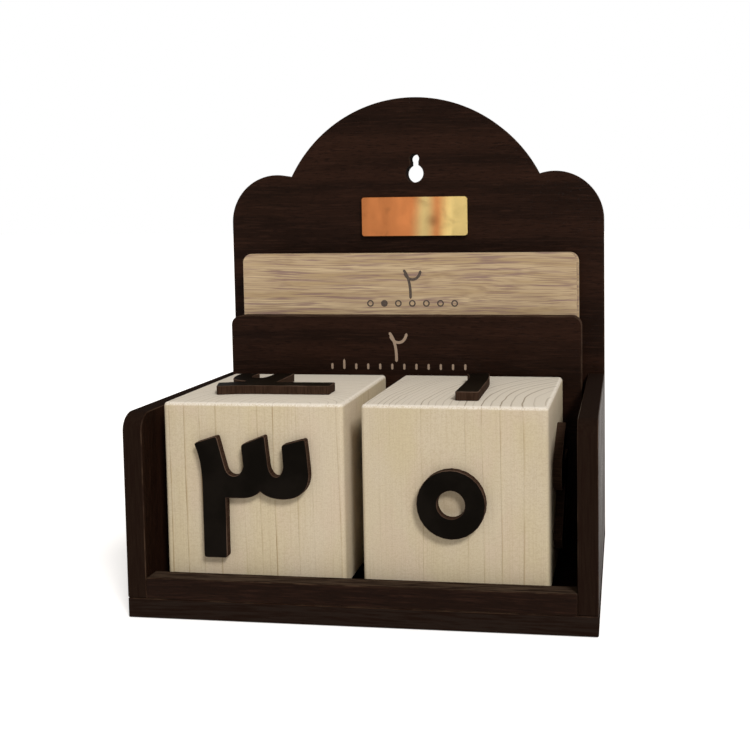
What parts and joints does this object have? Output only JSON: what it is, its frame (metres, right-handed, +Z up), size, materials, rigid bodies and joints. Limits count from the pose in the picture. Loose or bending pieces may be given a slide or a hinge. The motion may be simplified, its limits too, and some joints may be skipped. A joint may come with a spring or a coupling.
{
  "type": "desk calendar",
  "caption": "Perpetual desk calendar: an open board tray with an arched back and keyhole, holding loose numeral cubes and month and weekday plates.",
  "frame": {"origin": "centre of the bounding box at the underside, on the surface that the calendar stands on", "axes": "+Z up, +Y from the front rail towards the back panel, +X to the right of someone who reads the date"},
  "size_m": [0.18, 0.118, 0.2095],
  "materials": {
    "dark_laminate": "dark brown wood-grain laminate, satin",
    "dark_laminate_thin": "dark brown wood-grain laminate, satin, paler cut edges",
    "light_laminate_thin": "light oak wood-grain laminate, satin",
    "pine": "sanded pale softwood",
    "numeral_board": "thin near-black board, satin face, brown cut edges",
    "brass_mirror": "polished, mirror-like",
    "pin_steel": "bright drawn wire"
  },
  "bodies": {
    "tray": {"base_plate": "dark_laminate", "left_side_panel": "dark_laminate", "right_side_panel": "dark_laminate", "front_rail": "dark_laminate", "back_panel": "dark_laminate", "plaque": "brass_mirror", "pin_base_to_left_1": "pin_steel", "pin_base_to_left_2": "pin_steel", "pin_base_to_left_3": "pin_steel", "pin_base_to_right_1": "pin_steel", "pin_base_to_right_2": "pin_steel", "pin_base_to_right_3": "pin_steel", "pin_base_to_rail_1": "pin_steel", "pin_base_to_rail_2": "pin_steel", "pin_base_to_rail_3": "pin_steel", "pin_back_to_left_1": "pin_steel", "pin_back_to_left_2": "pin_steel", "pin_back_to_left_3": "pin_steel", "pin_back_to_right_1": "pin_steel", "pin_back_to_right_2": "pin_steel", "pin_back_to_right_3": "pin_steel", "pin_back_to_base_1": "pin_steel", "pin_back_to_base_2": "pin_steel", "pin_back_to_base_3": "pin_steel"},
    "left_date_cube": {"left_cube": "pine", "left_numeral_3_front": "numeral_board", "left_numeral_4_top": "numeral_board", "left_numeral_1_right": "numeral_board", "left_numeral_2_back": "numeral_board", "left_numeral_0_left": "numeral_board", "left_numeral_5_bottom": "numeral_board"},
    "right_date_cube": {"right_cube": "pine", "right_numeral_0_front": "numeral_board", "right_numeral_1_top": "numeral_board", "right_numeral_6_right": "numeral_board", "right_numeral_9_back": "numeral_board", "right_numeral_2_left": "numeral_board", "right_numeral_7_bottom": "numeral_board"},
    "first_month_plate": {"month_plate_1": "dark_laminate_thin"},
    "second_month_plate": {"month_plate_2": "dark_laminate_thin"},
    "third_month_plate": {"month_plate_3": "dark_laminate_thin"},
    "first_day_plate": {"day_plate_1": "light_laminate_thin"},
    "second_day_plate": {"day_plate_2": "light_laminate_thin"}
  },
  "joints": [
    {"name": "left_cube_lift", "type": "slide", "parent": "tray", "child": "left_date_cube", "axis": [0, 0, 1], "range_m": [0, 0.075]},
    {"name": "right_cube_lift", "type": "slide", "parent": "tray", "child": "right_date_cube", "axis": [0, 0, 1], "range_m": [0, 0.075]},
    {"name": "month_plate_1_lift", "type": "slide", "parent": "tray", "child": "first_month_plate", "axis": [0, 0, 1], "range_m": [0, 0.082]},
    {"name": "month_plate_2_lift", "type": "slide", "parent": "tray", "child": "second_month_plate", "axis": [0, 0, 1], "range_m": [0, 0.082]},
    {"name": "month_plate_3_lift", "type": "slide", "parent": "tray", "child": "third_month_plate", "axis": [0, 0, 1], "range_m": [0, 0.082]},
    {"name": "day_plate_1_lift", "type": "slide", "parent": "tray", "child": "first_day_plate", "axis": [0, 0, 1], "range_m": [0, 0.082]},
    {"name": "day_plate_2_lift", "type": "slide", "parent": "tray", "child": "second_day_plate", "axis": [0, 0, 1], "range_m": [0, 0.082]}
  ]
}
